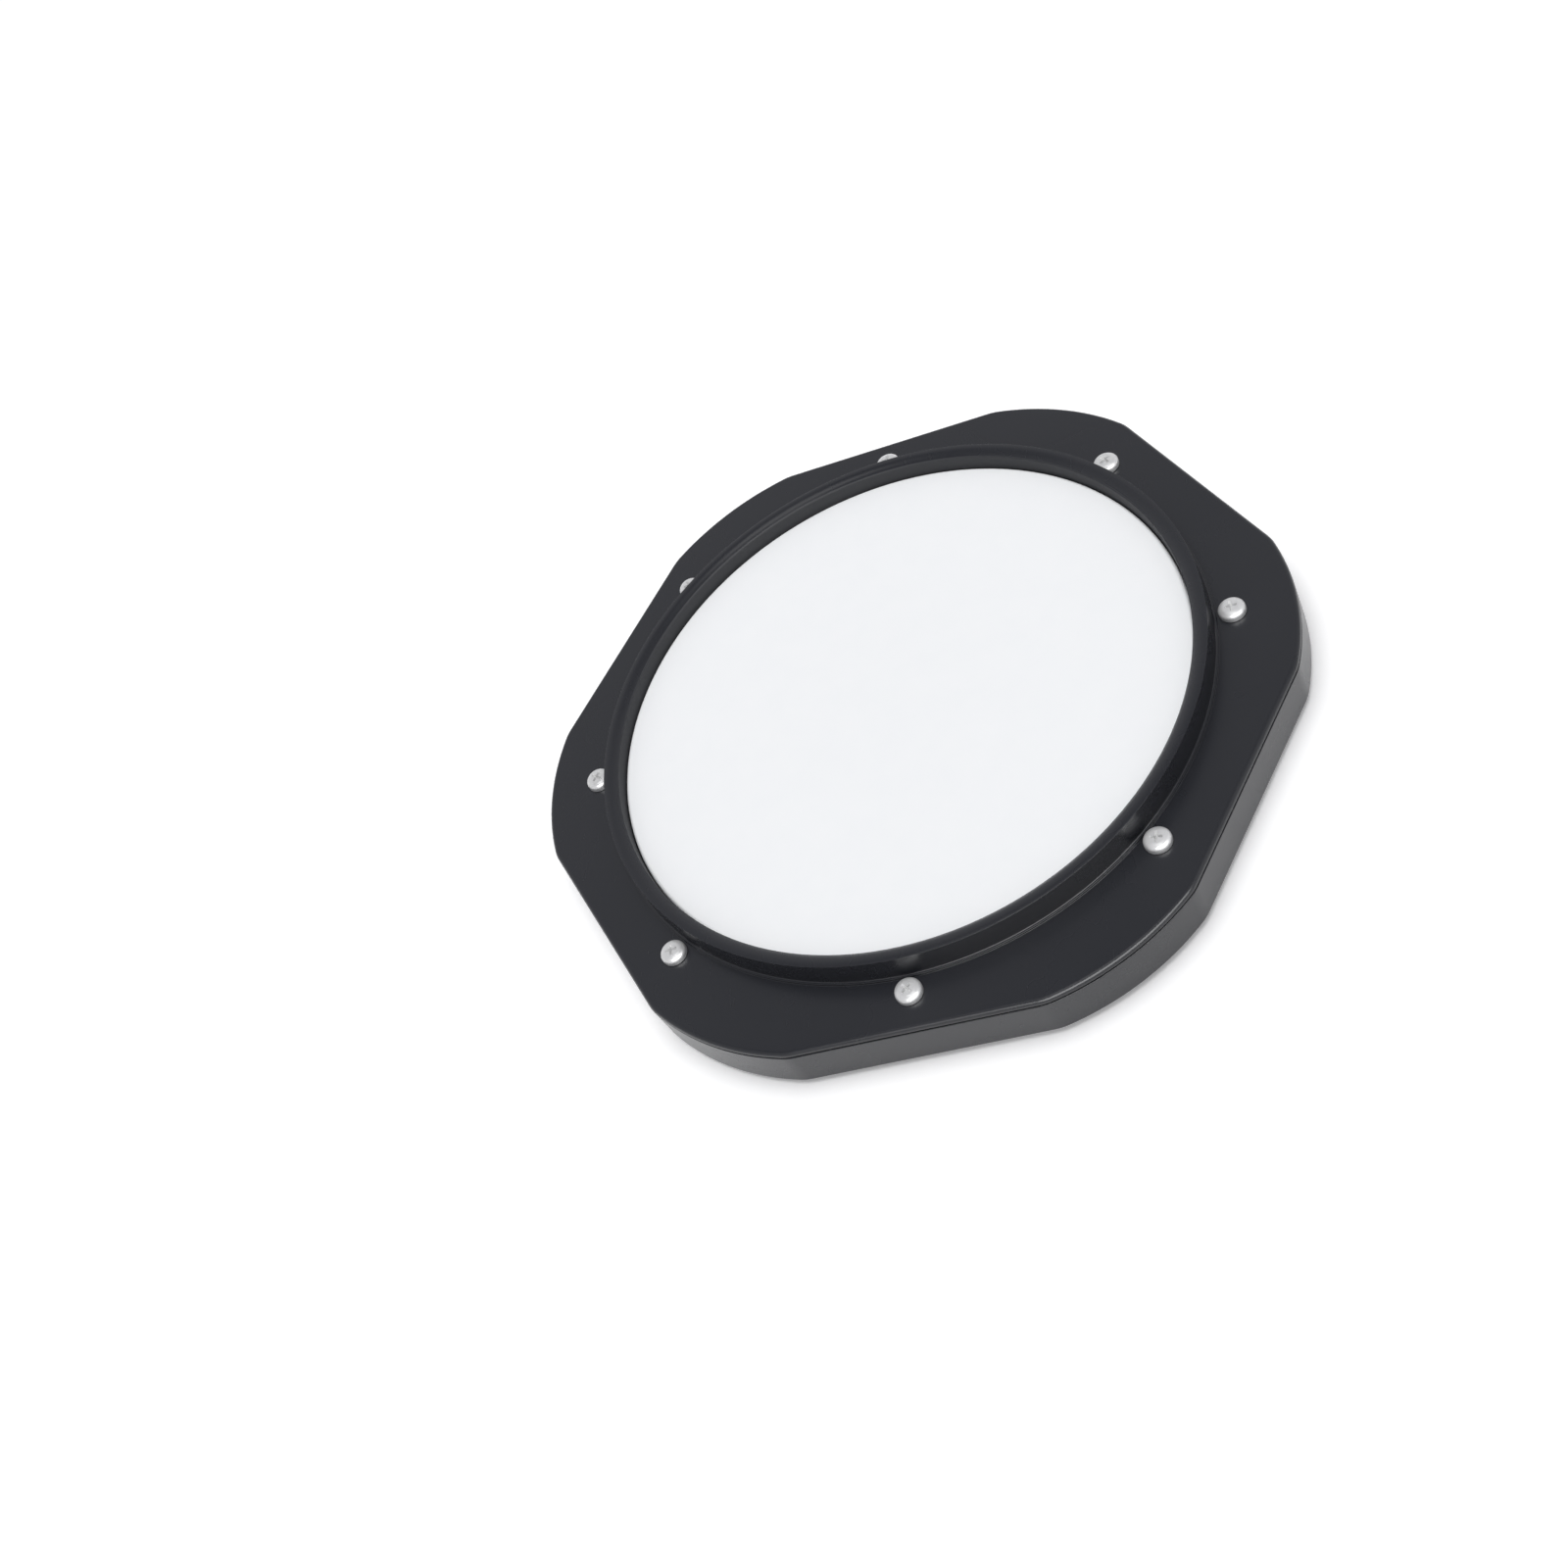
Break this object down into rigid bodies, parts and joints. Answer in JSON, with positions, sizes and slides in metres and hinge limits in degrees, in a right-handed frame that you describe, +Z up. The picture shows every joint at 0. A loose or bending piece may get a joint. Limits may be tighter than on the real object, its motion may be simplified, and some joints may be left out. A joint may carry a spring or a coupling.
{
  "type": "practice pad",
  "caption": "Drum practice pad: white coated head recessed in a raised ring, on a black six-lobed moulded body, with tension screws through the flange.",
  "frame": {"origin": "centre of the pad, on the plane of the feet's soles", "axes": "+Z up out of the playing surface, +X through the tip of a lobe, +Y through the middle of a straight side"},
  "size_m": [0.27, 0.254, 0.0298],
  "materials": {
    "body_plastic": "satin",
    "coated_film": "matte",
    "hoop_aluminium": "satin",
    "foam": "matte",
    "screw_steel": "gloss",
    "nut_steel": "satin",
    "foot_rubber": "matte"
  },
  "bodies": {
    "base": {"base_shell": "body_plastic", "drumhead_film": "coated_film", "flesh_hoop": "hoop_aluminium", "foam_core": "foam", "captive_nut_1": "nut_steel", "captive_nut_2": "nut_steel", "captive_nut_3": "nut_steel", "captive_nut_4": "nut_steel", "captive_nut_5": "nut_steel", "captive_nut_6": "nut_steel", "captive_nut_7": "nut_steel", "captive_nut_8": "nut_steel", "rubber_foot_1": "foot_rubber", "rubber_foot_2": "foot_rubber", "rubber_foot_3": "foot_rubber", "rubber_foot_4": "foot_rubber", "rubber_foot_5": "foot_rubber", "rubber_foot_6": "foot_rubber"},
    "rim": {"top_rim": "body_plastic"},
    "screw_1": {"tension_screw_1": "screw_steel"},
    "screw_2": {"tension_screw_2": "screw_steel"},
    "screw_3": {"tension_screw_3": "screw_steel"},
    "screw_4": {"tension_screw_4": "screw_steel"},
    "screw_5": {"tension_screw_5": "screw_steel"},
    "screw_6": {"tension_screw_6": "screw_steel"},
    "screw_7": {"tension_screw_7": "screw_steel"},
    "screw_8": {"tension_screw_8": "screw_steel"}
  },
  "joints": [
    {"name": "rim_lift", "type": "slide", "parent": "base", "child": "rim", "axis": [0, 0, 1], "range_m": [0, 0.004]},
    {"name": "screw_turn_1", "type": "hinge", "parent": "rim", "child": "screw_1", "pos_m": [0.1145, 0, 0.02], "axis": [0, 0, 1], "range_deg": [0, 1800]},
    {"name": "screw_turn_2", "type": "hinge", "parent": "rim", "child": "screw_2", "pos_m": [0.08096, 0.08096, 0.02], "axis": [0, 0, 1], "range_deg": [0, 1800]},
    {"name": "screw_turn_3", "type": "hinge", "parent": "rim", "child": "screw_3", "pos_m": [0, 0.1145, 0.02], "axis": [0, 0, 1], "range_deg": [0, 1800]},
    {"name": "screw_turn_4", "type": "hinge", "parent": "rim", "child": "screw_4", "pos_m": [-0.08096, 0.08096, 0.02], "axis": [0, 0, 1], "range_deg": [0, 1800]},
    {"name": "screw_turn_5", "type": "hinge", "parent": "rim", "child": "screw_5", "pos_m": [-0.1145, 0, 0.02], "axis": [0, 0, 1], "range_deg": [0, 1800]},
    {"name": "screw_turn_6", "type": "hinge", "parent": "rim", "child": "screw_6", "pos_m": [-0.08096, -0.08096, 0.02], "axis": [0, 0, 1], "range_deg": [0, 1800]},
    {"name": "screw_turn_7", "type": "hinge", "parent": "rim", "child": "screw_7", "pos_m": [0, -0.1145, 0.02], "axis": [0, 0, 1], "range_deg": [0, 1800]},
    {"name": "screw_turn_8", "type": "hinge", "parent": "rim", "child": "screw_8", "pos_m": [0.08096, -0.08096, 0.02], "axis": [0, 0, 1], "range_deg": [0, 1800]}
  ],
  "couplings": [
    {"joint": "screw_turn_1", "follows": "rim_lift", "rad_per_m": 7854},
    {"joint": "screw_turn_2", "follows": "rim_lift", "rad_per_m": 7854},
    {"joint": "screw_turn_3", "follows": "rim_lift", "rad_per_m": 7854},
    {"joint": "screw_turn_4", "follows": "rim_lift", "rad_per_m": 7854},
    {"joint": "screw_turn_5", "follows": "rim_lift", "rad_per_m": 7854},
    {"joint": "screw_turn_6", "follows": "rim_lift", "rad_per_m": 7854},
    {"joint": "screw_turn_7", "follows": "rim_lift", "rad_per_m": 7854},
    {"joint": "screw_turn_8", "follows": "rim_lift", "rad_per_m": 7854}
  ]
}
